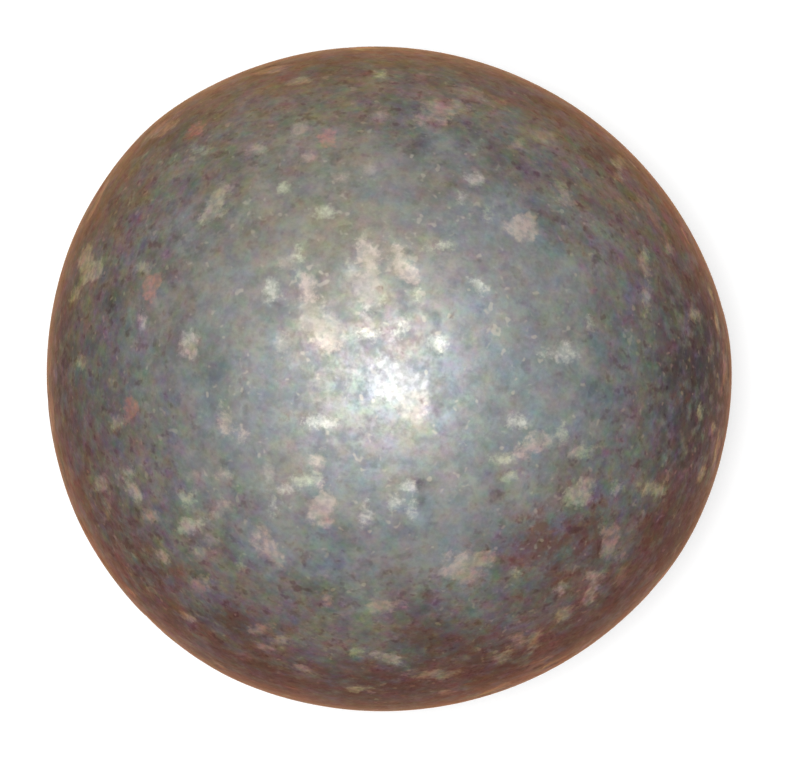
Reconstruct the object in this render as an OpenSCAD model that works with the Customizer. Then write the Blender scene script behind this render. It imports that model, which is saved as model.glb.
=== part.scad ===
// Forged steel ball, as it left the dies: one solid piece, a little out of round.
// It keeps a broad, slightly flatter face wherever the dies pressed it last, and its
// mill scale has chipped off here and there, which leaves shallow scars.
// +Z is up, the long way through the ball runs along X, and the origin is its middle.

/* [Ball] */
// Diameter of the ball before its faces were pressed
ball_d = 61; // [20:0.5:150]

/* [Pressed faces] */
// How much larger the radius of a pressed face is than the ball's own
face_slack = 1.6; // [0.5:0.1:6]
// Depth pressed off the broad face, on the short side of the ball
broad_press = 1.7; // [0.1:0.05:3]
// Turn of the broad face from the long way through the ball
broad_turn = 89; // [60:1:120]
// Depth pressed off the face across from the broad one
cross_press = 0.55; // [0.1:0.05:3]
// Turn of the face across from the broad one
cross_turn = 305; // [270:1:330]
// Depth pressed off the small face near one end of the long way
end_press = 0.15; // [0.1:0.05:1]
// Turn of the small face
end_turn = 201; // [185:1:235]
// Depth pressed off the top of the ball
top_press = 0.3; // [0.1:0.05:3]
// Depth pressed off the underside, which the ball lies on
under_press = 0.4; // [0.1:0.05:3]

/* [Scale chips] */
// Length of an ordinary chip, along the surface
chip_l = 2.5; // [1:0.1:4]
// Width of an ordinary chip, across the surface
chip_w = 1.5; // [0.8:0.1:3]
// How far each bite of a chip dips below a straight edge laid across it
chip_dip = 0.1; // [0.04:0.01:0.2]
// How much narrower a chip's end bites are than its middle one, as a share
bite_taper = 0.3; // [0:0.05:0.6]
// How many bites a chip takes for each width of its length
bites_per_width = 2; // [1:1:4]

/* [Hidden] */
$fn = 72;

ball_r = ball_d / 2;
face_r = ball_r + face_slack;

// The skins that bound the ball, each a [centre, radius]: its own round, then its faces
skins = concat(
    [[[0, 0, 0], ball_r]],
    [for (face = [
        [broad_turn, 90, broad_press],
        [cross_turn, 90, cross_press],
        [end_turn, 90, end_press],
        [0, 0, top_press],
        [0, 180, under_press]
    ]) [-aim(face[0], face[1]) * (face_slack + face[2]), face_r]]
);

// The origin lies midway between opposite sides
middle = [for (way = [[1, 0, 0], [0, 1, 0], [0, 0, 1]]) (outer(way) - outer(-way)) / 2];

// The larger chips: turn about the upright, tip from the top, heading of the chip,
// and its length and width as multiples of an ordinary one
chips = [
    [314, 37,  80, 2.1, 2.0],
    [358,  3, 170, 1.9, 2.2],
    [117, 20, 175, 1.2, 1.5],
    [ 98, 19,  30, 1.0, 1.2],
    [151, 20, 140, 1.2, 1.0],
    [ 99, 54, 135, 1.4, 1.6],
    [ 68, 37, 140, 1.1, 1.3],
    [ 28, 33,   0, 1.1, 1.2],
    [ 43, 55,  60, 1.6, 1.2],
    [ 51, 67,  90, 2.0, 0.9],
    [217, 29, 115, 1.1, 1.2],
    [357, 28,  20, 1.1, 1.4],
    [350, 42,  50, 1.1, 1.4],
    [359, 56,  45, 1.1, 1.4],
    [300, 21, 160, 1.1, 1.4],
    [264, 26,  35, 1.1, 1.4],
    [255, 37,  60, 1.4, 1.2],
    [343, 55, 120, 1.6, 1.5],
    [323, 61,  95, 1.6, 1.3],
    [298, 62,  75, 1.8, 1.2],
    [179, 67,  80, 1.8, 1.6],
    [155, 46, 130, 1.1, 1.1]
];

// Direction that turns about the upright and tips away from the top
function aim(turn, tip) = [sin(tip) * cos(turn), sin(tip) * sin(turn), cos(tip)];

// Distance from the stock's centre to one skin, looking along way
function reach(skin, way) =
    let (along = skin[0] * way)
    along + sqrt(along ^ 2 - skin[0] * skin[0] + skin[1] ^ 2);

// Distance to the surface, which is the skin that is met first
function outer(way) = min([for (skin = skins) reach(skin, way)]);

// The skin that is met first, looking along way
function nearest(way) = [for (skin = skins) if (reach(skin, way) == outer(way)) skin][0];

// How far a round of radius r falls away at half a chord from its crown
function sag(r, chord) = r - sqrt(r ^ 2 - chord ^ 2 / 4);

// Radius of the round that a chord cuts off at the given height
function round_r(chord, height) = (chord ^ 2 / 4 + height ^ 2) / (2 * height);

// One chip: a row of round bites that overlap, the widest in the middle, all of them
// taken from the skin that lies under the chip
module chip(turn, tip, heading, long, wide) {
    way = aim(turn, tip);
    skin = nearest(way);
    spot = way * reach(skin, way) - skin[0];
    length = chip_l * long;
    width = chip_w * wide;
    steps = max(0, ceil((length - width) / width * bites_per_width));
    translate(skin[0])
        rotate([0, acos(spot.z / skin[1]), atan2(spot.y, spot.x)])
            for (i = [0 : steps]) {
                share = steps == 0 ? 0 : 2 * i / steps - 1;
                roll = share * (length - width) / 2 / skin[1] * 180 / PI;
                bite(skin[1], width * (1 - bite_taper * abs(share)), heading, roll);
            }
}

// One round bite out of a skin of radius r, rolled away from the chip's middle
module bite(r, width, heading, roll) {
    depth = chip_dip + sag(r, width);
    bite_r = round_r(width, chip_dip);
    rotate([0, 0, heading]) rotate([0, roll, 0]) translate([0, 0, r - depth + bite_r]) sphere(bite_r);
}

module ball() {
    color("dimgray") translate(-middle) difference() {
        intersection_for(skin = skins) translate(skin[0]) sphere(skin[1]);
        for (c = chips) chip(c[0], c[1], c[2], c[3], c[4]);
    }
}

ball();
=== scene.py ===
# %% [markdown]
# # A forged steel ball
#
# The ball is one solid lump of steel, about 60 mm across. It was pressed hot between
# dies, so it is slightly out of round, and it cooled in air, so it wears a skin of grey
# mill scale. The scale has flaked off in pale spots, and rust creeps in from the sides.
#
# The lesson goes in this order: load the solid, grow a fine even mesh over it, press the
# flaked spots and pits into that mesh, paint the skin with a node material, and light
# the ball on a pale floor.

# %% Load the solid ball
import bpy
import math
import random
import numpy as np
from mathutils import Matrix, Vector, noise


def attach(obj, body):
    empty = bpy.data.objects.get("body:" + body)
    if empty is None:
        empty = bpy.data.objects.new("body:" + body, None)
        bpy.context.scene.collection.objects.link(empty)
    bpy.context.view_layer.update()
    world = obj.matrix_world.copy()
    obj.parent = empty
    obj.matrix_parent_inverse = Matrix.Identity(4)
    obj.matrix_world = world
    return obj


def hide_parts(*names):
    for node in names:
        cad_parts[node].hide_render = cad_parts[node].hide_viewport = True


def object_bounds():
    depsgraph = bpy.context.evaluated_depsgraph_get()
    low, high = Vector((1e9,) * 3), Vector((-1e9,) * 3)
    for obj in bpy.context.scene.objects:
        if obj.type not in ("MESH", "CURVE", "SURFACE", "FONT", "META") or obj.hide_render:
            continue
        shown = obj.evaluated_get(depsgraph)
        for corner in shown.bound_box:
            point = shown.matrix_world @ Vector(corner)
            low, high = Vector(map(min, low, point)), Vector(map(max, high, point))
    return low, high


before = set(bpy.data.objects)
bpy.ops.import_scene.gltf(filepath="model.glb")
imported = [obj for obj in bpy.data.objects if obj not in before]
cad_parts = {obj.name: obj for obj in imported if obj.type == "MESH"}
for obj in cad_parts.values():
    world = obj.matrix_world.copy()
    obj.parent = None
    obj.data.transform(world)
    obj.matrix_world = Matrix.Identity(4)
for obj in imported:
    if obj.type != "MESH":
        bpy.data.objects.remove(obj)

MM = 0.001
cad_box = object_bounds()
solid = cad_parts["ball"]
ball_size = cad_box[1] - cad_box[0]
ball_r = sum(ball_size) / 6
print("solid ball, mm:", [round(side / MM, 2) for side in ball_size])

# %% [markdown]
# ## The body
#
# A round body with a fine, even skin starts as a cube. Each side of the cube is divided
# again and again and then swollen to a sphere. That gives squares of nearly one size all
# over, with no crowded poles as on a globe, so small scars look the same everywhere.

# %% Divide a cube
HALVINGS = 7
bpy.ops.object.select_all(action="DESELECT")
bpy.ops.mesh.primitive_cube_add(size=2, location=(0, 0, 0))
ball = bpy.context.object
ball.name = "forged_ball"
ball.data.name = "forged_ball"
bpy.ops.object.mode_set(mode="EDIT")
bpy.ops.mesh.select_all(action="SELECT")
for halving in range(HALVINGS):
    bpy.ops.mesh.subdivide(number_cuts=1)
bpy.ops.object.mode_set(mode="OBJECT")
print("skin:", len(ball.data.polygons), "squares")

# %% Swell the cube to a sphere, a little outside the solid
SKIN_GAP = 1 * MM


def read_points(mesh):
    """The mesh's points as an array with a row for each."""
    points = np.empty(len(mesh.vertices) * 3)
    mesh.vertices.foreach_get("co", points)
    return points.reshape(-1, 3)


def write_points(mesh, points):
    """Moves the mesh's points to these places."""
    mesh.vertices.foreach_set("co", points.ravel())
    mesh.update()


# The rows of a cube bunch up at its corners on a sphere, and the tangent evens them out.
swollen = np.tan(read_points(ball.data) * math.pi / 4)
swollen *= (ball_r + SKIN_GAP) / np.linalg.norm(swollen, axis=1, keepdims=True)
write_points(ball.data, swollen)
print("swollen to {:.1f} mm across".format(2 * (ball_r + SKIN_GAP) / MM))

# %% [markdown]
# ## The flatter faces
#
# The flatter faces that the dies gave the ball could be sculpted by eye, but the solid
# has them already. Shrinkwrap pulls the skin onto it, and Smooth then melts the faint
# creases between the faces, because hot steel leaves none.

# %% Wrap the skin onto the solid and melt the creases
SMOOTH_PASSES = 180


def finish_with(piece, kind, **settings):
    """Adds a modifier with these settings and applies it."""
    bpy.ops.object.select_all(action="DESELECT")
    piece.select_set(True)
    bpy.context.view_layer.objects.active = piece
    modifier = piece.modifiers.new(kind.title(), kind)
    for setting, value in settings.items():
        setattr(modifier, setting, value)
    bpy.ops.object.modifier_apply(modifier=modifier.name)


finish_with(ball, "SHRINKWRAP", target=solid, wrap_method="NEAREST_SURFACEPOINT")
wrapped_r = np.linalg.norm(read_points(ball.data), axis=1).mean()
finish_with(ball, "SMOOTH", factor=0.5, iterations=SMOOTH_PASSES)
skin_points = read_points(ball.data)
# Smoothing also shrinks a ball a little, so the skin is swollen back to its size.
skin_points *= wrapped_r / np.linalg.norm(skin_points, axis=1).mean()
skin_radii = np.linalg.norm(skin_points, axis=1)
outward = skin_points / skin_radii[:, None]
print("radius from {:.2f} to {:.2f} mm".format(skin_radii.min() / MM, skin_radii.max() / MM))

# %% [markdown]
# ## Where the scale has flaked
#
# Scale is brittle, and where a flake lets go it leaves a shallow scar with a ragged rim.
# The larger ones are listed one by one, in six lists: fresh scars are pale, older ones
# have turned tan or straw-coloured, a few are red with rust, one on the crown is worn
# bright and sits under the highlight, where its pale colour adds a painted highlight, and
# the faint ones have half closed over again.
#
# Most of these rows weren't typed by hand. A separate program worked them out from spots
# read by eye in a flat view of a ball, and some were moved later to about where another
# program had matched them. A list made afresh would give each spot as a named reading.
#
# A spot's turn is its direction round the upright, its tip is how far down from the top
# it lies, and its heading is which way it runs, where 0 is straight down the side. Then
# come its length and its width, in millimetres. Turns and tips are as an eye straight
# above reads them off the round outline of the ball. The next step but two turns them
# into places on the ball. The scars could be painted on, but from a list the same spot
# gives both its dent and its colour, and it can be moved by changing a number.

# %% Flaked spots, one by one
PALE_FLAKES = [
    # turn, tip, heading, length, width
    (124, 13, 165, 2.4, 1.0), (123, 17, 85, 1.6, 1.2), (29, 32, 0, 2.8, 1.4),
    (55, 11, 150, 1.2, 1.0), (234, 13, 150, 1.8, 0.8), (248, 26, 155, 1.0, 0.8),
    (282, 24, 5, 1.6, 0.8), (249, 30, 30, 1.0, 0.6), (237, 46, 170, 2.6, 1.2),
    (290, 55, 55, 2.6, 1.4), (220, 53, 175, 1.4, 0.8), (224, 54, 105, 2.2, 1.4),
    (238, 57, 160, 1.6, 1.2), (303, 19, 75, 1.0, 0.8), (295, 21, 85, 1.2, 1.0),
    (302, 23, 170, 1.2, 0.6), (2, 24, 15, 1.6, 1.0), (355, 48, 5, 1.2, 0.8),
    (337, 57, 15, 2.0, 1.0), (334, 60, 140, 2.8, 1.6), (330, 53, 150, 1.6, 1.0),
    (66, 23, 85, 1.4, 0.8), (190, 36, 50, 2.0, 1.8), (87, 35, 15, 1.0, 0.6),
    (86, 40, 145, 1.4, 1.2), (35, 38, 65, 1.0, 0.6), (186, 47, 115, 1.2, 0.6),
    (162, 25, 130, 1.6, 1.0), (129, 8, 70, 1.4, 0.7), (94, 9, 165, 1.4, 0.7),
]
TAN_FLAKES = [
    (314, 37, 75, 4.8, 3.0), (118, 21, 0, 3.0, 2.0), (151, 20, 145, 2.4, 1.6),
    (99, 19, 40, 4.2, 1.4), (168, 12, 30, 2.6, 1.8), (129, 50, 165, 1.8, 1.2),
    (139, 50, 40, 2.0, 1.0), (111, 51, 0, 1.2, 1.0), (129, 43, 30, 1.0, 0.8),
    (123, 37, 70, 1.0, 0.6), (99, 54, 160, 4.4, 2.6), (95, 57, 20, 1.8, 1.2),
    (68, 37, 150, 2.8, 2.0), (66, 49, 45, 2.0, 1.8), (81, 53, 155, 1.6, 1.0),
    (214, 29, 85, 2.0, 1.0), (221, 27, 65, 1.0, 0.6), (250, 18, 35, 1.6, 1.0),
    (264, 25, 30, 3.0, 2.0), (255, 37, 60, 3.4, 1.8), (230, 34, 165, 1.2, 0.8),
    (238, 38, 5, 2.0, 1.0), (243, 49, 155, 2.4, 1.0), (248, 55, 165, 2.8, 1.0),
    (275, 42, 10, 1.2, 0.6), (289, 42, 90, 2.8, 1.8), (263, 56, 140, 3.0, 1.2),
    (266, 60, 115, 1.6, 1.0), (344, 54, 155, 3.6, 2.2), (356, 28, 30, 2.6, 1.8),
    (230, 53, 165, 2.2, 1.0), (317, 59, 20, 1.6, 1.0),
]
STRAW_FLAKES = [
    (90, 16, 20, 1.2, 0.6), (145, 26, 150, 1.6, 0.6), (138, 39, 165, 1.2, 0.8),
    (126, 66, 45, 1.8, 1.2), (130, 31, 65, 1.8, 0.8), (87, 25, 115, 1.6, 0.6),
    (111, 65, 0, 1.6, 1.0), (154, 45, 120, 3.2, 2.0), (149, 59, 15, 2.0, 1.0),
    (180, 66, 15, 3.2, 2.4), (178, 70, 160, 3.4, 2.6), (185, 69, 175, 2.2, 1.2),
    (175, 51, 10, 1.6, 0.8), (197, 63, 175, 1.6, 1.2), (63, 72, 0, 3.0, 1.4),
    (61, 66, 170, 1.6, 0.8), (45, 66, 10, 1.6, 0.8), (44, 56, 45, 2.8, 1.2),
    (37, 52, 55, 2.2, 1.0), (32, 65, 5, 2.2, 1.2), (78, 34, 20, 1.0, 0.6),
    (252, 22, 140, 2.0, 1.0), (231, 43, 170, 1.8, 1.2), (252, 44, 25, 1.2, 0.6),
    (284, 54, 170, 1.4, 1.0), (285, 68, 120, 2.0, 1.4), (274, 63, 75, 1.6, 1.2),
    (268, 56, 140, 1.6, 0.8), (250, 66, 170, 2.2, 1.4), (220, 63, 0, 2.2, 1.0),
    (3, 33, 110, 1.2, 0.8), (0, 38, 20, 2.4, 1.0), (343, 28, 25, 1.2, 1.0),
    (346, 25, 30, 1.4, 0.6), (350, 41, 55, 3.0, 2.6), (358, 57, 10, 3.4, 1.2),
    (327, 60, 30, 2.4, 1.8), (320, 62, 160, 3.6, 1.4), (313, 63, 155, 2.0, 1.4),
    (299, 63, 70, 4.0, 1.6), (324, 43, 25, 1.0, 0.8), (14, 66, 150, 1.4, 1.0),
    (209, 53, 15, 1.4, 1.0),
]
RED_FLAKES = [
    (179, 47, 0, 2.4, 2.0), (123, 46, 20, 1.8, 1.4), (147, 65, 0, 2.4, 1.6),
    (207, 49, 60, 2.0, 1.4),
]
WORN_AND_HIGHLIGHT_FLAKES = [(20, 2, 170, 4.6, 3.8)]
FAINT_FLAKES = [
    (92, 63, 100, 4.6, 2.4), (103, 66, 175, 1.8, 1.0), (77, 59, 130, 3.6, 2.0),
    (52, 67, 95, 4.6, 2.2), (114, 38, 0, 1.4, 1.2), (239, 26, 45, 1.6, 0.8),
    (226, 40, 165, 1.2, 0.6), (243, 44, 150, 2.0, 0.8), (263, 67, 150, 2.6, 1.0),
    (225, 65, 25, 2.6, 0.8), (340, 64, 165, 2.2, 1.4), (344, 74, 175, 2.0, 1.0),
    (273, 37, 125, 1.0, 0.8), (341, 6, 150, 3.4, 2.6), (151, 27, 40, 1.6, 1.2),
    (179, 18, 30, 2.0, 1.2), (158, 15, 0, 5.0, 2.4), (122, 16, 10, 4.4, 2.2),
]

# %% [markdown]
# ## The flakes and pits that nobody counts
#
# The far flanks and the underside get scars from a seeded random generator, which puts
# them in the same places every time. Tiny pits go all over. Small marks are much more
# common than large ones, so a mark's width follows the cube of an even draw.

# %% Flaked spots and pits from a generator
FAR_FLAKES = 190
FAR_TIP = 72
FAR_FLAKE_WIDTHS = (0.7, 3.2)
PITS = 900
PIT_WIDTHS = (0.35, 1.2)
MOST_STRETCH = 1.2
SEED = 11
strew = random.Random(SEED)


def strewn_spot(from_tip, smallest, largest):
    """A spot anywhere below the given tip. Small ones are much more common."""
    # An even draw of the height, not of the tip, spreads the spots evenly over a ball.
    drop = math.cos(math.radians(from_tip)) + 1
    tip = math.degrees(math.acos(drop * strew.random() - 1))
    width = smallest + (largest - smallest) * strew.random() ** 3
    length = width * (1 + MOST_STRETCH * strew.random())
    return 360 * strew.random(), tip, 180 * strew.random(), length, width


far_flakes = [strewn_spot(FAR_TIP, *FAR_FLAKE_WIDTHS) for flake in range(FAR_FLAKES)]
pits = [strewn_spot(0, *PIT_WIDTHS) for pit in range(PITS)]
print("strewn:", len(far_flakes), "flaked spots and", len(pits), "pits")

# %% [markdown]
# ## Tones of the scars
#
# Each scar gets a strength, which is how much bare metal shows in it, and the colour that
# the metal has turned since the flake let go.

# %% Give each flake its strength and colour
PALE = {"strength": 0.68, "colour": (0.50, 0.505, 0.445), "spots": PALE_FLAKES}
TAN = {"strength": 0.63, "colour": (0.475, 0.405, 0.35), "spots": TAN_FLAKES}
STRAW = {"strength": 0.64, "colour": (0.48, 0.51, 0.385), "spots": STRAW_FLAKES}
RED = {"strength": 0.8, "colour": (0.44, 0.26, 0.22), "spots": RED_FLAKES}
# A worn spot, partly painted highlight: it lies where the lamp's highlight falls and brightens it.
WORN_AND_HIGHLIGHT = {"strength": 0.4, "colour": (0.44, 0.45, 0.46), "spots": WORN_AND_HIGHLIGHT_FLAKES}
FAINT = {"strength": 0.36, "colour": (0.46, 0.42, 0.37), "spots": FAINT_FLAKES}
# Tan stands here twice, so it comes up twice as often.
FAR_TONES = [PALE, TAN, TAN, STRAW, FAINT]

flakes = [(spot, tone) for tone in (PALE, TAN, STRAW, RED, WORN_AND_HIGHLIGHT, FAINT) for spot in tone["spots"]]
print("flaked spots from the lists:", len(flakes))
flakes += [(spot, strew.choice(FAR_TONES)) for spot in far_flakes]
flake_strengths = np.array([tone["strength"] for spot, tone in flakes])
flake_colours = np.array([tone["colour"] for spot, tone in flakes])
print("flaked spots in all:", len(flakes))

# %% [markdown]
# ## From a reading to a place on the ball
#
# The turns and tips in the lists hold for an eye above. What lies nearer to it looks
# larger, so a spot near the top is really a little closer in, and the lists came out a
# hundredth too wide. The middle of the outline also lies a seventh of a millimetre off
# the solid's own middle, because the broad flat face is on one side only. One helper
# makes a direction of a turn and a tip, and another puts it right for all that.

# %% From a reading to a place on the ball
EYE_HEIGHT = 1.5
OUTLINE_MIDDLE = np.array([-0.09, 0.12, 0]) * MM
READ_TOO_WIDE = 0.01


def aim(turn, tip):
    """Unit vector that turns about the upright and tips away from the top."""
    turn, tip = math.radians(turn), math.radians(tip)
    level = math.sin(tip)
    return np.array([level * math.cos(turn), level * math.sin(turn), math.cos(tip)])


def spot_way(turn, tip):
    """Unit vector from the ball's own middle to a spot that an eye above reads."""
    place = ball_r * aim(turn, tip)
    place[:2] *= 1 - place[2] / EYE_HEIGHT - READ_TOO_WIDE
    place += OUTLINE_MIDDLE
    return place / np.linalg.norm(place)


half_down = math.degrees(math.acos(spot_way(0, 45)[2]))
print("a spot that is read at 45 degrees lies at {:.1f}".format(half_down))

# %% [markdown]
# ## Ragged rims
#
# A rim could be cut as an outline, but no scar on a forging has a clean one. So for each
# point of the skin, one number says how far it lies inside the nearest scar, and a little
# cloudy noise is added to that number. The rim is where the number is 0, so the noise
# makes it wander in and out, by a share of the spot's half width. Two sizes of noise are
# mixed, because one alone gives a rim with even scallops.

# %% The noise that makes rims ragged
RAGGED_GRAIN = 1.4 * MM
FINE_GRAIN = 0.6 * MM
RAGGED_SHARE = 0.6


def cloud(grain, seed):
    """Cloudy noise on the skin, about -1 to 1, with lumps as wide as the grain."""
    # Each seed reads the noise at a place of its own.
    shift = Vector((17.3 * seed, 5.1 * seed, 9.7 * seed))
    return np.array([noise.noise(Vector(way) * ball_r / grain + shift) for way in outward])


ragged = RAGGED_SHARE * cloud(RAGGED_GRAIN, 1) + (1 - RAGGED_SHARE) * cloud(FINE_GRAIN, 2)
print("ragged noise from {:.2f} to {:.2f}".format(ragged.min(), ragged.max()))

# %% How far inside a spot each point of the skin lies
RAGGED = 1.35
RAGGED_UP_TO_WIDTH = 2
REACH_IN_LENGTHS = 1.2
NO_SPOT_NEAR = -5.0


def inside_spots(spots):
    """Millimetres that each point lies inside the nearest spot, and which spot that is."""
    inside = np.full(len(outward), NO_SPOT_NEAR)
    nearest = np.zeros(len(outward), int)
    for number, (turn, tip, heading, length, width) in enumerate(spots):
        middle = spot_way(turn, tip)
        down = aim(turn, tip + 90)
        side = np.cross(middle, down)
        heading = math.radians(heading)
        along = math.cos(heading) * down + math.sin(heading) * side
        across = np.cross(middle, along)
        reach = math.cos(REACH_IN_LENGTHS * length * MM / ball_r)
        near = np.flatnonzero(outward @ middle > reach)
        away = (outward[near] - middle) * ball_r / MM
        reach_along = away @ along / (length / 2)
        reach_across = away @ across / (width / 2)
        rim = (1 - np.hypot(reach_along, reach_across)) * width / 2
        rim += RAGGED * ragged[near] * min(width, RAGGED_UP_TO_WIDTH) / 2
        deeper = rim > inside[near]
        inside[near[deeper]] = rim[deeper]
        nearest[near[deeper]] = number
    return inside, nearest


flake_inside, nearest_flake = inside_spots([spot for spot, tone in flakes])
pit_inside = inside_spots(pits)[0]
print("skin that is flaked: {:.1%}".format((flake_inside > 0).mean()))
print("skin that is pitted: {:.1%}".format((pit_inside > 0).mean()))

# %% [markdown]
# ## Press the skin
#
# A scar is only as deep as the scale is thick, under a tenth of a millimetre, and a pit is
# half as deep. On top of both, the whole skin swells and dips a little, as forged steel
# does, in lumps from about 1 to 8 mm wide. Bump in the material could fake all this, but
# dents in the mesh stay when the ball is exported. All of it is pressed inwards, so that
# the ball stays inside the solid's own size.

# %% Press scars, pits and swellings
FLAKE_DEPTH = 0.06 * MM
PIT_DEPTH = 0.03 * MM
RIM_WIDTH = 0.4
SWELLINGS = [
    # width of the lumps, height of the lumps
    (8 * MM, 0.013 * MM), (3 * MM, 0.0045 * MM), (1.2 * MM, 0.002 * MM),
]


def ease(low, high, value):
    """Rises smoothly from 0 at low to 1 at high."""
    share = np.clip((value - low) / (high - low), 0, 1)
    return share * share * (3 - 2 * share)


flake_sink = FLAKE_DEPTH * ease(-RIM_WIDTH / 2, RIM_WIDTH / 2, flake_inside)
pit_sink = PIT_DEPTH * ease(-RIM_WIDTH / 2, RIM_WIDTH, pit_inside)
sink = np.maximum(flake_sink, pit_sink)
for seed, (grain, height) in enumerate(SWELLINGS, start=5):
    sink += height * (1 - cloud(grain, seed))
write_points(ball.data, skin_points - outward * sink[:, None])
bpy.ops.object.shade_smooth()
print("deepest dip: {:.2f} mm".format(sink.max() / MM))

# %% [markdown]
# ## Soft patches of colour
#
# Rust, soot, and the blue and straw colours that heat leaves on steel have no rim: they
# fade out, like the bell curve that makes them here. Each patch is a middle, a radius and
# a strength. Those on the upper side are listed, and the generator spreads a few more
# below. Some of the listed ones stand where a separate program's measurements showed that
# a colour was lacking, and their strengths were judged from those measurements.
# Several of the soot patches, along the rim and on the upper left, are painted shade.

# %% Soft patches, one by one
RUSTY = [
    # turn, tip, radius mm, strength
    (343, 48, 4.5, 0.9), (330, 50, 3.5, 0.7), (352, 66, 4.0, 0.9), (300, 58, 4.0, 0.8),
    (283, 68, 3.0, 0.8), (258, 57, 3.0, 1.0), (240, 62, 4.0, 0.8), (228, 68, 4.0, 0.7),
    (205, 70, 3.0, 0.5), (168, 62, 4.5, 0.5), (150, 68, 5.0, 0.5), (120, 72, 4.0, 0.5),
    (85, 72, 5.0, 0.6), (66, 66, 4.0, 0.7), (38, 68, 3.0, 0.8), (15, 60, 3.0, 0.5),
    (330, 70, 8.0, 0.8), (310, 66, 7.0, 0.8), (314, 38, 4.5, 0.4), (215, 56, 3.0, 0.4),
    (185, 55, 3.0, 0.3), (60, 48, 4.0, 0.3), (45, 58, 3.0, 0.4), (270, 50, 4.0, 0.3),
    (290, 72, 8.0, 1.0), (265, 70, 7.0, 0.8), (350, 76, 8.0, 1.0), (333, 42, 4.0, 0.9),
    (300, 52, 4.0, 0.9), (310, 59, 5.0, 0.8), (337, 73, 6.0, 0.8),
]
BLUED = [
    (15, 20, 6.0, 0.6), (40, 25, 5.0, 0.4), (0, 32, 5.0, 0.5), (20, 40, 5.0, 0.7),
    (205, 22, 5.0, 0.3), (200, 32, 5.0, 0.6), (195, 55, 5.0, 0.7), (300, 26, 4.0, 0.6),
    (20, 64, 9.0, 1.0), (200, 68, 9.0, 1.0), (8, 74, 6.0, 0.8), (350, 52, 4.0, 0.6),
    (270, 34, 4.0, 0.6), (250, 38, 3.0, 0.4), (60, 36, 4.0, 0.5), (10, 52, 3.5, 0.5),
    (312, 30, 4.0, 0.4), (62, 17, 4.0, 0.4), (270, 20, 5.0, 0.35), (240, 7, 3.0, 0.4),
    (335, 22, 5.0, 0.4), (88, 52, 5.0, 0.4), (90, 66, 5.0, 0.5), (252, 56, 5.0, 0.4),
]
STRAW_TINTED = [
    (130, 28, 5.0, 1.0), (125, 42, 6.0, 0.8), (140, 46, 6.0, 1.0), (100, 24, 2.0, 0.7),
    (110, 22, 2.0, 0.7), (100, 40, 4.0, 0.5), (113, 60, 6.0, 0.9), (97, 56, 2.5, 0.8),
    (165, 15, 1.5, 0.6), (320, 9, 1.5, 0.8), (60, 60, 3.0, 0.5), (350, 38, 2.5, 0.6),
    (78, 58, 2.5, 0.6), (150, 60, 5.0, 0.7), (180, 66, 3.0, 0.7), (235, 46, 2.0, 0.4),
    (112, 74, 9.0, 1.0), (140, 72, 9.0, 1.0), (125, 56, 9.0, 0.9), (95, 62, 7.0, 0.7),
    (70, 66, 6.0, 0.6), (145, 34, 6.0, 0.7), (160, 70, 7.0, 0.8), (120, 17, 3.5, 0.8),
    (150, 18, 4.0, 0.5), (180, 38, 6.0, 0.4), (240, 24, 3.0, 0.5),
]
# Dark patches of soot; several along the rim and the wide weak one at turn 168 are painted shade.
SOOTY_AND_SHADED = [
    (18, 70, 10.0, 1.5), (34, 60, 3.0, 1.0), (8, 57, 3.0, 0.8), (102, 43, 1.5, 0.8),
    (300, 52, 4.5, 0.5), (255, 60, 3.0, 0.6), (283, 66, 3.5, 0.6), (340, 46, 4.0, 0.4),
    (322, 54, 3.5, 0.4), (200, 74, 7.0, 0.9), (200, 31, 1.6, 0.6), (184, 56, 1.6, 0.8),
    (135, 24, 4.0, 0.3), (60, 42, 3.0, 0.3), (0, 74, 7.0, 0.7), (230, 70, 5.0, 0.5),
    (335, 74, 7.0, 0.4), (285, 76, 6.0, 0.7), (262, 74, 5.0, 0.4), (168, 44, 6.0, 0.35),
    (228, 54, 4.0, 0.3), (90, 45, 4.0, 0.3), (30, 62, 5.0, 0.4), (308, 19, 0.7, 1.2),
    (307, 22, 0.6, 0.9),
]
print("soft patches from the lists:", len(RUSTY + BLUED + STRAW_TINTED + SOOTY_AND_SHADED))

# %% [markdown]
# ## Tell the material where things are
#
# A material can read numbers that are stored on the points of a mesh. The ball stores how
# far each point lies inside a flake or a pit, the strength and the colour of that flake,
# and how strongly each kind of patch colours the point.

# %% How strongly soft patches colour each point
STREWN_RADII = (2, 6)
WEAKEST_PATCH = 0.4


def soft_patches(patches, extra):
    """How strongly the patches colour each point, with a few extra ones strewn below."""
    strength = np.zeros(len(outward))
    for more in range(extra):
        turn, tip, *unused, radius = strewn_spot(FAR_TIP, *STREWN_RADII)
        power = WEAKEST_PATCH + (1 - WEAKEST_PATCH) * strew.random()
        patches = patches + [(turn, tip, radius, power)]
    for turn, tip, radius, power in patches:
        away = np.linalg.norm(outward - spot_way(turn, tip), axis=1) * ball_r / (radius * MM)
        strength = np.maximum(strength, power * np.exp(-away ** 2))
    return strength


# %% Store the numbers on the mesh


def remember(name, values):
    """Stores a number on each point of the ball, for the material to read."""
    layer = ball.data.attributes.new(name, "FLOAT", "POINT")
    layer.data.foreach_set("value", values.astype(np.float32))
    print(name, "from {:.2f} to {:.2f}".format(values.min(), values.max()))


def remember_colour(name, colours):
    """Stores a colour on each point of the ball."""
    layer = ball.data.attributes.new(name, "FLOAT_COLOR", "POINT")
    solid_colours = np.column_stack([colours, np.ones(len(colours))])
    layer.data.foreach_set("color", solid_colours.ravel().astype(np.float32))


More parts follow.
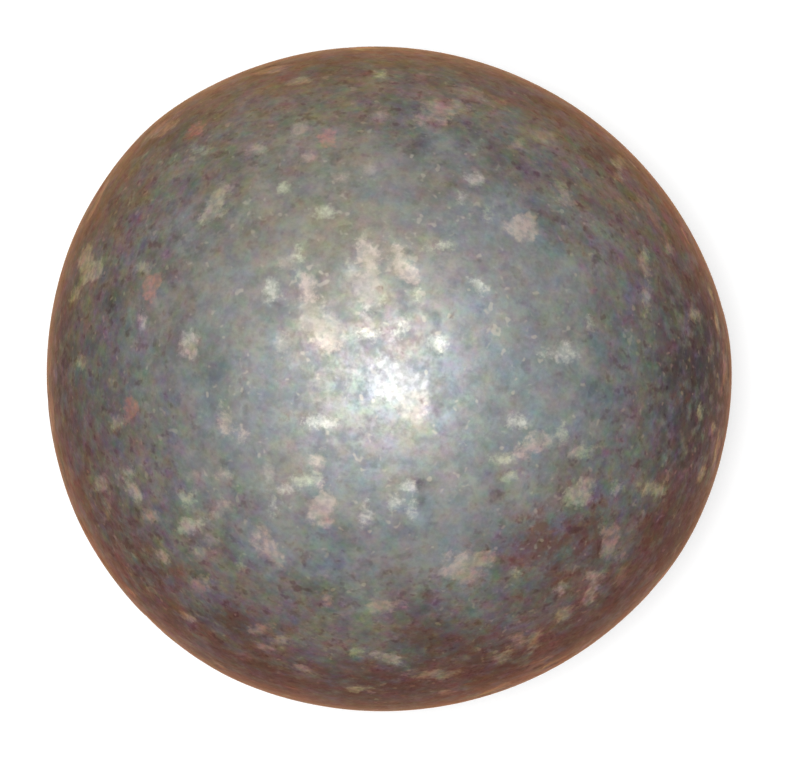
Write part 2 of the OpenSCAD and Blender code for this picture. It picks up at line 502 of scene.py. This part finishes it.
PATCHES = [
    # name, patches from a list, how many more are strewn
    ("rusty", RUSTY, 16), ("blued", BLUED, 12), ("straw", STRAW_TINTED, 10), ("sooty_and_shaded", SOOTY_AND_SHADED, 12),
]
remember("flake", flake_inside)
remember("flake_strength", flake_strengths[nearest_flake])
remember_colour("flake_colour", flake_colours[nearest_flake])
remember("pit", pit_inside)
for name, patches, extra in PATCHES:
    remember(name, soft_patches(patches, extra))

# %% [markdown]
# ## Tools for the material
#
# A node material is a graph, and most of its lines say which node feeds which. These
# helpers add a node, fill its inputs with numbers or links, and hand back its result. A
# group is a small graph of its own that is placed like one node. Mill scale, rust and
# bare metal are a group each, so that each can be read by itself.

# %% Helpers that add nodes


def feed_inputs(tree, node, feeds):
    """Fills a node's inputs, by name or number: with a value, or a link from a socket."""
    for name, feed in feeds.items():
        if isinstance(feed, bpy.types.NodeSocket):
            tree.links.new(feed, node.inputs[name])
        else:
            node.inputs[name].default_value = feed


def put(tree, kind, title, feeds, **settings):
    """Adds a node with these settings and inputs."""
    node = tree.nodes.new(kind)
    node.label = title
    for setting, value in settings.items():
        setattr(node, setting, value)
    feed_inputs(tree, node, feeds)
    return node


# %% Helpers for noise, arithmetic and coats of colour


def clouds(tree, title, position, grain, detail=3.0, rough=0.6, twist=0.0):
    """Cloudy noise, about 0.2 to 0.8, with lumps as wide as the grain in millimetres."""
    feeds = {"Vector": position, "Scale": 1 / grain, "Detail": detail}
    feeds.update({"Roughness": rough, "Distortion": twist})
    return put(tree, "ShaderNodeTexNoise", title, feeds).outputs["Fac"]


def colour_clouds(tree, title, position, grain, rough):
    """Broad cloudy noise in colour, with lumps as wide as the grain in millimetres."""
    feeds = {"Vector": position, "Scale": 1 / grain, "Detail": 2.0, "Roughness": rough}
    return put(tree, "ShaderNodeTexNoise", title, feeds).outputs["Color"]


def along_way(tree, title, position, way):
    """How far a place lies along a way."""
    feeds = {0: position, 1: way}
    node = put(tree, "ShaderNodeVectorMath", title, feeds, operation="DOT_PRODUCT")
    return node.outputs["Value"]


def spread(tree, title, value, low, high, to_low=0.0, to_high=1.0):
    """Stretches the values from low to high over a new range, with soft ends."""
    feeds = {"Value": value, "From Min": low, "From Max": high}
    feeds.update({"To Min": to_low, "To Max": to_high})
    node = put(tree, "ShaderNodeMapRange", title, feeds, interpolation_type="SMOOTHSTEP")
    return node.outputs["Result"]


def sums(tree, title, operation, first, second=0.0, third=0.0):
    """Arithmetic on up to three numbers."""
    feeds = {0: first, 1: second, 2: third}
    return put(tree, "ShaderNodeMath", title, feeds, operation=operation).outputs[0]


def coat_over(tree, title, share, under, over, how="MIX"):
    """Lays one colour over another."""
    feeds = {0: share, 6: under, 7: over}
    node = put(tree, "ShaderNodeMix", title, feeds, data_type="RGBA", blend_type=how)
    return node.outputs[2]


# %% Helpers that make and place groups


def new_group(name, inputs, outputs):
    """An empty node group. Each input is a name, a kind and a value to start with."""
    tree = bpy.data.node_groups.new(name, "ShaderNodeTree")
    for title, kind, value in inputs:
        socket = tree.interface.new_socket(title, in_out="INPUT", socket_type="NodeSocket" + kind)
        if value is not None:
            socket.default_value = value
    for title, kind in outputs:
        tree.interface.new_socket(title, in_out="OUTPUT", socket_type="NodeSocket" + kind)
    start = tree.nodes.new("NodeGroupInput")
    end = tree.nodes.new("NodeGroupOutput")
    return tree, start.outputs, end


def use_group(tree, group, title, feeds):
    """Places a group in a material and hands back its outputs."""
    node = tree.nodes.new("ShaderNodeGroup")
    node.node_tree = group
    node.label = title
    feed_inputs(tree, node, feeds)
    return node.outputs


def tell_nodes(title, tree):
    """Says how many nodes a group or a material holds so far."""
    print(title, "nodes:", len(tree.nodes))


# %% [markdown]
# ## Mill scale
#
# Mill scale is a thin skin of grey oxide. It isn't one grey: patches a millimetre or two
# wide are paler or darker, and the oxide's thickness gives each a faint colour of its own.
# One size of noise would look like stone, so three sizes together choose between a pale
# and a dark grey. A colour noise laid over them plays a little green, pink and blue into
# the grey, and broader clouds turn it slightly cool or warm.

# %% Group: mill scale
COOL_GREY, WARM_GREY = (0.96, 1.0, 1.045, 1), (1.04, 1.0, 0.95, 1)
PLAY_GRAIN = 4 / 3


def build_mill_scale():
    """A group that gives the colour of the scale, and how pale it is."""
    inputs = [("Position", "Vector", None), ("Pale", "Color", None), ("Dark", "Color", None)]
    inputs += [("Colour play", "Float", 0.3)]
    outputs = [("Color", "Color"), ("Cloudiness", "Float")]
    tree, given, result = new_group("mill_scale", inputs, outputs)
    position = given["Position"]
    broad = clouds(tree, "broad clouds", position, 6.0, detail=2.0, rough=0.5)
    patchy = clouds(tree, "patches", position, 1.6, detail=4.0, rough=0.62, twist=0.4)
    fine = clouds(tree, "fine grain", position, 0.42)
    lumps = sums(tree, "broad share", "MULTIPLY", broad, 0.25)
    lumps = sums(tree, "and patches", "MULTIPLY_ADD", patchy, 0.5, lumps)
    lumps = sums(tree, "and fine grain", "MULTIPLY_ADD", fine, 0.25, lumps)
    share = spread(tree, "pale share", lumps, 0.36, 0.64)
    grey = coat_over(tree, "grey", share, given["Dark"], given["Pale"])
    play = colour_clouds(tree, "colour play", position, PLAY_GRAIN, 0.65)
    coloured = coat_over(tree, "thin film colours", given["Colour play"], grey, play, "OVERLAY")
    warm_cloud = clouds(tree, "warm clouds", position, 3.2, detail=3.0)
    warm = spread(tree, "warm share", warm_cloud, 0.35, 0.65)
    tint = coat_over(tree, "cool or warm", warm, COOL_GREY, WARM_GREY)
    coloured = coat_over(tree, "tinted", 1.0, coloured, tint, "MULTIPLY")
    tree.links.new(coloured, result.inputs["Color"])
    tree.links.new(share, result.inputs["Cloudiness"])
    return tree


mill_scale = build_mill_scale()
tell_nodes("mill scale", mill_scale)

# %% [markdown]
# ## Rust
#
# Rust starts in small blooms that join up. A cloudy noise decides where, and the stored
# amount lowers the bar for it. Old rust on scale is wine-brown, and a few spots in it are
# a brighter orange-brown.

# %% Group: rust
WINE_RUST, ORANGE_RUST = (0.14, 0.078, 0.068, 1), (0.20, 0.125, 0.08, 1)


def build_rust():
    """A group that gives the colour of rust, and a mask of where it lies."""
    inputs = [("Position", "Vector", None), ("Amount", "Float", 0.0)]
    tree, given, result = new_group("rust", inputs, [("Color", "Color"), ("Mask", "Float")])
    position = given["Position"]
    blooms = clouds(tree, "rust blooms", position, 1.6, detail=5.0, rough=0.65, twist=0.2)
    need = sums(tree, "rust need", "MULTIPLY_ADD", given["Amount"], 0.36, blooms)
    mask = spread(tree, "rust", need, 0.6, 0.88)
    tone = clouds(tree, "rust tone", position, 0.9)
    orange = spread(tree, "orange share", tone, 0.52, 0.75)
    colour = coat_over(tree, "rust colour", orange, WINE_RUST, ORANGE_RUST)
    tree.links.new(colour, result.inputs["Color"])
    tree.links.new(mask, result.inputs["Mask"])
    return tree


rust_group = build_rust()
tell_nodes("rust", rust_group)

# %% [markdown]
# ## Bare metal
#
# Under a flake the steel is paler than the scale. The stored distance gives the scar, and
# a fine noise crumbles its rim. Crumbs of scale stay inside, so the scar is never one
# flat colour, and the stored strength says how much of the metal shows through.

# %% Group: flaked spots


def build_flaked():
    """A group that gives a mask of where bare metal shows, and how much."""
    inputs = [("Position", "Vector", None), ("Inside", "Float", 0.0), ("Strength", "Float", 1.0)]
    tree, given, result = new_group("flaked_spots", inputs, [("Mask", "Float")])
    position = given["Position"]
    crumbs = clouds(tree, "crumbs", position, 0.55, detail=4.0, rough=0.75)
    crumbled = sums(tree, "crumbled rim", "MULTIPLY_ADD", crumbs, 1.7, given["Inside"])
    scar = spread(tree, "scar", crumbled, 0.45, 1.2)
    left = clouds(tree, "scale left inside", position, 0.5, detail=4.0)
    open_share = spread(tree, "open share", left, 0.4, 0.6, 0.55, 1.0)
    mask = sums(tree, "open scar", "MULTIPLY", scar, open_share)
    mask = sums(tree, "scar strength", "MULTIPLY", mask, given["Strength"])
    tree.links.new(mask, result.inputs["Mask"])
    return tree


flaked_spots = build_flaked()
tell_nodes("flaked spots", flaked_spots)

# %% [markdown]
# ## The skin, layer by layer
#
# The material starts with mill scale and lays everything else over it, as it came to the
# ball: first heat colours, soot with some painted shade, and dirt in the pits, then rust,
# specks and scars, and last the brown that dulls the sides, which is partly painted shade.
# A picture wrapped round a ball would show a seam, and noise that fills space has none. It
# is read in millimetres from the middle of the ball, so that the pattern sticks to the ball.

# %% Skin: a new material
skin = bpy.data.materials.new("scaled_steel")
skin.use_nodes = True
tree = skin.node_tree
shader = tree.nodes["Principled BSDF"]
place = put(tree, "ShaderNodeTexCoord", "place on the ball", {}).outputs["Object"]
per_mm = {0: place, 1: [1 / MM] * 3}
in_mm = put(tree, "ShaderNodeVectorMath", "in millimetres", per_mm, operation="MULTIPLY")
position = in_mm.outputs[0]
tell_nodes("new skin,", tree)


def stored(name, kind="Fac"):
    """A number, or a colour, that the mesh stores on its points."""
    settings = {"attribute_type": "GEOMETRY", "attribute_name": name}
    return put(tree, "ShaderNodeAttribute", name, {}, **settings).outputs[kind]


# %% Skin: mill scale
PALE_SCALE, DARK_SCALE = (0.238, 0.240, 0.234, 1), (0.173, 0.174, 0.172, 1)
scale = use_group(tree, mill_scale, "mill scale", {
    "Position": position, "Pale": PALE_SCALE, "Dark": DARK_SCALE, "Colour play": 0.24,
})
tell_nodes("skin with mill scale,", tree)

# %% Skin: heat colours
BLUE_HEAT, STRAW_HEAT = (0.66, 0.96, 1.08, 1), (1.08, 1.0, 0.74, 1)
blue = sums(tree, "blue amount", "MULTIPLY", stored("blued"), 0.45)
coloured = coat_over(tree, "blued", blue, scale["Color"], BLUE_HEAT, "MULTIPLY")
straw = sums(tree, "straw amount", "MULTIPLY", stored("straw"), 0.6)
coloured = coat_over(tree, "straw", straw, coloured, STRAW_HEAT, "MULTIPLY")
tell_nodes("skin with heat colours,", tree)

# %% Skin: soot with painted shade, and pits
# This colour darkens soot and also paints shade where a patch stands for it.
SOOT_AND_SHADE, PIT_DIRT = (0.5, 0.48, 0.5, 1), (0.55, 0.52, 0.52, 1)
soot_and_shade_cloud = clouds(tree, "soot clouds", position, 1.5, detail=4.0)
soot_and_shade_patchy = spread(tree, "soot patches", soot_and_shade_cloud, 0.3, 0.6)
soot_and_shade = sums(tree, "soot_and_shade", "MULTIPLY", stored("sooty_and_shaded"), soot_and_shade_patchy)
coloured = coat_over(tree, "sooty_and_shaded", soot_and_shade, coloured, SOOT_AND_SHADE, "MULTIPLY")
in_pits = spread(tree, "in pits", stored("pit"), 0.0, 0.25, 0.0, 0.4)
coloured = coat_over(tree, "dark pits", in_pits, coloured, PIT_DIRT, "MULTIPLY")
tell_nodes("skin with soot,", tree)

# %% [markdown]
# ## The way down the side
#
# The sides of the ball are painted darker and browner than its top, partly as a duller film
# and partly as painted shade, and they have more specks. So the layers that follow all ask
# how high up a point lies. The height is measured a little aslant, so that the painted
# shade reaches higher on one side and the opposite side is left lighter, and a broad noise
# makes it uneven, so that nothing ends in a level line. Where heat left a straw colour, less
# is darkened, which also paints that side lighter.

# %% Skin: how far down the side
# The tilt of this upright paints one side of the ball lighter and the other darker: painted light
# and shade.
UPRIGHT_ASLANT = (-0.06, 0.06, 1)
WANDER = 16.0
# These and the other heights are in millimetres, and the noise adds about 8 to each.
DULL_SHADE_FROM, DULL_SHADE_FULL = 36.5, 28.0
height = along_way(tree, "height aslant", position, UPRIGHT_ASLANT)
wander = clouds(tree, "wandering line", position, 5.0, detail=4.0, rough=0.55)
uneven = sums(tree, "uneven height", "MULTIPLY_ADD", wander, WANDER, height)
# Painted shade, partly a duller film: the sides are darkened below these heights.
dull_and_shade = spread(tree, "duller sides", uneven, DULL_SHADE_FROM, DULL_SHADE_FULL)
spared = sums(tree, "spared by straw", "MULTIPLY_ADD", straw, -0.5, 1.0)
dull_and_shade = sums(tree, "dull where not straw", "MULTIPLY", dull_and_shade, spared)
on_sides = sums(tree, "more on the sides", "MULTIPLY_ADD", dull_and_shade, 0.7, 0.3)
tell_nodes("skin with the way down,", tree)

# %% [markdown]
# ## Rust, specks and scars
#
# Rust comes first, because the specks and scars are younger. Dark specks are grime and
# dense scale, and most of them sit on the sides. Pale specks are crumbs of bare metal,
# too small to be placed one by one, that crowd together here and there. The scars come
# last and take the colour that the mesh stores for them.

# %% Skin: rust
rust = use_group(tree, rust_group, "rust", {"Position": position, "Amount": stored("rusty")})
rust_part = sums(tree, "rust share", "MULTIPLY", rust["Mask"], 0.8)
coloured = coat_over(tree, "rusty", rust_part, coloured, rust["Color"])
tell_nodes("skin with rust,", tree)

# %% Skin: dark specks
DARK_SPECK = (0.6, 0.57, 0.6, 1)
dark_cloud = clouds(tree, "dark speck clouds", position, 1.0, detail=2.0, rough=0.55)
dark_specks = spread(tree, "dark specks", dark_cloud, 0.56, 0.7, 0.0, 0.85)
dark_specks = sums(tree, "more specks on the sides", "MULTIPLY", dark_specks, on_sides)
coloured = coat_over(tree, "dark specks", dark_specks, coloured, DARK_SPECK, "MULTIPLY")
tell_nodes("skin with dark specks,", tree)

# %% Skin: pale specks and scars
PALE_SPECK = (0.40, 0.37, 0.31, 1)
speck_cloud = clouds(tree, "speck clouds", position, 0.85, detail=1.0)
speck_crowd = clouds(tree, "where specks crowd", position, 4.5, detail=2.0)
speck_need = sums(tree, "speck need", "MULTIPLY_ADD", speck_crowd, 0.35, speck_cloud)
specks = spread(tree, "specks", speck_need, 0.84, 0.95, 0.0, 0.45)
coloured = coat_over(tree, "specked", specks, coloured, PALE_SPECK)
flake = use_group(tree, flaked_spots, "flaked", {
    "Position": position, "Inside": stored("flake"), "Strength": stored("flake_strength"),
})
coloured = coat_over(tree, "flaked", flake["Mask"], coloured, stored("flake_colour", "Color"))
tell_nodes("skin with specks and scars,", tree)

# %% [markdown]
# ## Brown sides
#
# A thin brown film of rust and handling grows in from the sides. It is wine-coloured in
# some places and olive in others, it is thin here and there, and low on the ball it
# breaks up into patches. Over soot and painted shade and in scars it is weaker. It is
# laid on by multiplying, because a film darkens what it covers and doesn't hide it.

# %% Skin: where the brown lies
# This darkens the sides: painted shade, partly a duller film.
DULL_AND_SHADED_SIDE = (0.668, 0.604, 0.583, 1)
BROWN_FROM, BROWN_FULL = 30.0, 16.0
BROKEN_FROM, BROKEN_FULL = 12.0, -8.0
coloured = coat_over(tree, "duller", dull_and_shade, coloured, DULL_AND_SHADED_SIDE, "MULTIPLY")
brown = spread(tree, "browned sides", uneven, BROWN_FROM, BROWN_FULL)
broken = clouds(tree, "broken brown", position, 7.0, detail=5.0)
broken = spread(tree, "brown left", broken, 0.42, 0.6, 0.2, 0.95)
below = spread(tree, "below the middle", uneven, BROKEN_FROM, BROKEN_FULL)
thin_cloud = clouds(tree, "where brown is thin", position, 3.0, detail=3.0, rough=0.65)
thin = spread(tree, "brown where thin", thin_cloud, 0.36, 0.58, 0.4, 1.0)
kept = put(tree, "ShaderNodeMix", "brown kept", {0: below, 2: thin, 3: broken}).outputs[0]
brown = sums(tree, "patchy brown", "MULTIPLY", brown, kept)
outside_soot_and_shade = sums(tree, "not sooted over", "MULTIPLY_ADD", stored("sooty_and_shaded"), -0.65, 1.0)
brown = sums(tree, "brown where not sooty", "MULTIPLY", brown, outside_soot_and_shade)
scarless = sums(tree, "not in scars", "MULTIPLY_ADD", flake["Mask"], -0.4, 1.0)
brown = sums(tree, "brown around scars", "MULTIPLY", brown, scarless)
tell_nodes("skin with the place of the brown,", tree)

# %% Skin: wine and olive stain
OLIVE_STAIN, WINE_STAIN = (0.79, 0.65, 0.45, 1), (0.73, 0.395, 0.31, 1)
WINE_SIDE = (0.006, -0.008, 0)
wine_cloud = clouds(tree, "wine or olive", position, 1.7, detail=2.0, rough=0.7)
wine_more = along_way(tree, "more wine on one side", position, WINE_SIDE)
wine_need = sums(tree, "wine need", "ADD", wine_cloud, wine_more)
wine = spread(tree, "wine share", wine_need, 0.4, 0.6)
stain = coat_over(tree, "stain", wine, OLIVE_STAIN, WINE_STAIN)
coloured = coat_over(tree, "browned", brown, coloured, stain, "MULTIPLY")
tell_nodes("skin with brown sides,", tree)

# %% Skin: mottle and films of rust
MOTTLE_DARK, MOTTLE_PALE = (0.93, 0.92, 0.92, 1), (1.07, 1.07, 1.07, 1)
FILM_GRAIN = 2.0
mottle_cloud = clouds(tree, "mottle", position, 0.9, detail=5.0, rough=0.7)
mottle = spread(tree, "mottle share", mottle_cloud, 0.35, 0.65)
mottle_tone = coat_over(tree, "mottle tone", mottle, MOTTLE_DARK, MOTTLE_PALE)
coloured = coat_over(tree, "mottled", on_sides, coloured, mottle_tone, "MULTIPLY")
film = colour_clouds(tree, "films of rust", position, FILM_GRAIN, 0.8)
film_share = sums(tree, "more films on the sides", "MULTIPLY_ADD", dull_and_shade, 0.45, 0.03)
coloured = coat_over(tree, "filmed", film_share, coloured, film, "OVERLAY")
tree.links.new(coloured, shader.inputs["Base Color"])
tell_nodes("skin with its whole colour,", tree)

# %% [markdown]
# ## How the skin shines
#
# Scale is a mineral skin that shines like a dull metal, so the metallic value stays part
# of the way up and the specular level is low. Pale scale is a little smoother, rust is
# rough and less metallic, and bare scars are more metallic. A fine grain in the bump
# keeps the shine from looking polished, and each scar has a small step at its rim.
#
# Seen at a slant, the skin turns brown, which the specular tint gives, and the finest
# dust of rust lights up orange, which the sheen gives. Both act at the rim of the ball,
# from whichever side it is seen.

# %% Skin: shine and grain
SLANT_TINT = (0.5, 0.2, 0.06, 1)
RUST_DUST = (0.84, 0.34, 0.04, 1)
GRAIN_HEIGHT = 0.009 * MM
matt = spread(tree, "scale roughness", scale["Cloudiness"], 0.0, 1.0, 0.58, 0.49)
matt = sums(tree, "rust roughness", "MULTIPLY_ADD", rust["Mask"], 0.2, matt)
metal = sums(tree, "not metal", "MULTIPLY_ADD", rust["Mask"], -0.4, 0.65)
metal = sums(tree, "bare metal", "MULTIPLY_ADD", flake["Mask"], 0.1, metal)
grain = clouds(tree, "grain", position, 0.5, detail=4.0, rough=0.65)
stepped = sums(tree, "steps at the scars", "MULTIPLY_ADD", flake["Mask"], -1.2, grain)
relief = {"Strength": 1.0, "Distance": GRAIN_HEIGHT, "Height": stepped}
bump = put(tree, "ShaderNodeBump", "fine relief", relief)
feed_inputs(tree, shader, {
    "Roughness": matt, "Metallic": metal, "Normal": bump.outputs["Normal"],
    "Specular Tint": SLANT_TINT, "Specular IOR Level": 0.12,
    "Sheen Tint": RUST_DUST, "Sheen Weight": 0.15, "Sheen Roughness": 0.25,
})
ball.data.materials.clear()
ball.data.materials.append(skin)
tell_nodes("whole skin,", tree)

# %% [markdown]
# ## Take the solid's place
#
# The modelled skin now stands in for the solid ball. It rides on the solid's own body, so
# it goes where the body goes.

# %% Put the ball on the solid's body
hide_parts("ball")
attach(ball, "root")
print("skin:", len(ball.data.vertices), "points in place of the solid ball")

# %% [markdown]
# ## Floor
#
# The ball lies on a sheet of white paper, metres wide, that catches its shadow. The paper
# has a plain pale colour. It also glows a little, and more so further out where the lamp
# hardly reaches, but only to the camera and to what metal or glass sends on. A ray that
# has met a matt surface doesn't see the glow, so the glow lights nothing, and the shadow
# stays.

# %% Floor
FLOOR_R = 4
FLOOR_EDGES = 96
floor_place = (0, 0, cad_box[0].z)
bpy.ops.object.select_all(action="DESELECT")
bpy.ops.mesh.primitive_circle_add(
    vertices=FLOOR_EDGES, radius=FLOOR_R, fill_type="NGON", location=floor_place)
floor = bpy.context.object
floor.name = "floor"
print("floor:", 2 * FLOOR_R, "m across")

# %% Paper that glows only to the eye
PAPER = (0.8, 0.8, 0.8, 1)
WHITE = (1, 1, 1, 1)
NEAR_GLOW, FAR_GLOW = 0.33, 0.9
GLOW_FROM, GLOW_TO = 0.25, 1.5


def seen_or_mirrored(tree):
    """1 for rays from the camera, or sent on by metal or glass, that met nothing matt."""
    path = put(tree, "ShaderNodeLightPath", "which ray", {}).outputs
    shown = sums(tree, "seen or mirrored", "MAXIMUM", path["Is Camera Ray"], path["Is Glossy Ray"])
    shown = sums(tree, "or through glass", "MAXIMUM", shown, path["Is Transmission Ray"])
    straight = sums(tree, "before any matt surface", "LESS_THAN", path["Diffuse Depth"], 0.5)
    return sums(tree, "shown", "MULTIPLY", shown, straight)


paper = bpy.data.materials.new("white_paper")
paper.use_nodes = True
paper_tree = paper.node_tree
on_floor = put(paper_tree, "ShaderNodeTexCoord", "place on the floor", {}).outputs["Object"]
way_out = put(paper_tree, "ShaderNodeVectorMath", "way out", {0: on_floor}, operation="LENGTH")
distance = way_out.outputs["Value"]
glow = spread(paper_tree, "glow by distance", distance, GLOW_FROM, GLOW_TO, NEAR_GLOW, FAR_GLOW)
glow = sums(paper_tree, "glow", "MULTIPLY", seen_or_mirrored(paper_tree), glow)
feed_inputs(paper_tree, paper_tree.nodes["Principled BSDF"], {
    "Base Color": PAPER, "Roughness": 1.0, "Specular IOR Level": 0.0,
    "Emission Color": WHITE, "Emission Strength": glow,
})
floor.data.materials.append(paper)
tell_nodes("paper", paper_tree)

# %% [markdown]
# ## World
#
# The world is white to the camera and in mirrored rays, by the same helper. As a light it
# is only a weak fill that keeps the shadow side of the ball readable.

# %% World
FILL = 0.25
world = bpy.data.worlds.new("studio")
bpy.context.scene.world = world
world.use_nodes = True
air = world.node_tree
brightness = spread(air, "fill or white", seen_or_mirrored(air), 0.0, 1.0, FILL, 1.0)
feed_inputs(air, air.nodes["Background"], {"Color": WHITE, "Strength": brightness})
print("world: fill", FILL)

# %% [markdown]
# ## Lamp
#
# One round soft lamp hangs nearly overhead. It leans a few degrees, so that the highlight
# sits just off the middle of the ball. A wide lamp gives a broad, soft highlight. Its
# height and width are in metres, and its lean and turn in degrees.

# %% Lamp
LAMP_HEIGHT = 1.8
LAMP_LEAN = 3.3
LAMP_TURN = 195
LAMP_WIDE = 0.8
LAMP_WATTS = 42
lamp_data = bpy.data.lights.new("soft_lamp", "AREA")
lamp_data.shape = "DISK"
lamp_data.size = LAMP_WIDE
lamp_data.energy = LAMP_WATTS
lamp = bpy.data.objects.new("soft_lamp", lamp_data)
bpy.context.collection.objects.link(lamp)
lamp.location = Vector(aim(LAMP_TURN, LAMP_LEAN)) * LAMP_HEIGHT
lamp.rotation_euler = lamp.location.to_track_quat("Z", "Y").to_euler()
print("lamp at", [round(side, 3) for side in lamp.location])

# %% [markdown]
# ## Camera
#
# The camera looks straight down from a metre and a half. Its lens is worked out from how
# large the ball is in the picture, and its shift from where the ball's middle falls. It
# is turned about its own line of sight, so that the ball's long way lies aslant.

# %% Camera
PICTURE_WIDE, PICTURE_HIGH = 800, 776
OUTLINE_R = 30 * MM
BALL_RADIUS_PX = 338.2
BALL_X_PX, BALL_Y_PX = 385.7, 381.3
PICTURE_TURN = math.radians(20)
SENSOR = 36
camera_data = bpy.data.cameras.new("camera")
camera = bpy.data.objects.new("camera", camera_data)
bpy.context.collection.objects.link(camera)
camera.location = (0, 0, EYE_HEIGHT)
camera.rotation_euler = (0, 0, PICTURE_TURN)
camera_data.sensor_width = SENSOR
seen_slope = math.tan(math.asin(OUTLINE_R / EYE_HEIGHT))
camera_data.lens = SENSOR * BALL_RADIUS_PX / PICTURE_WIDE / seen_slope
camera_data.shift_x = (PICTURE_WIDE / 2 - BALL_X_PX) / PICTURE_WIDE
camera_data.shift_y = (BALL_Y_PX - PICTURE_HIGH / 2) / PICTURE_WIDE
bpy.context.scene.camera = camera
bpy.context.scene.view_settings.view_transform = "Standard"
print("lens: {:.1f} mm".format(camera_data.lens))
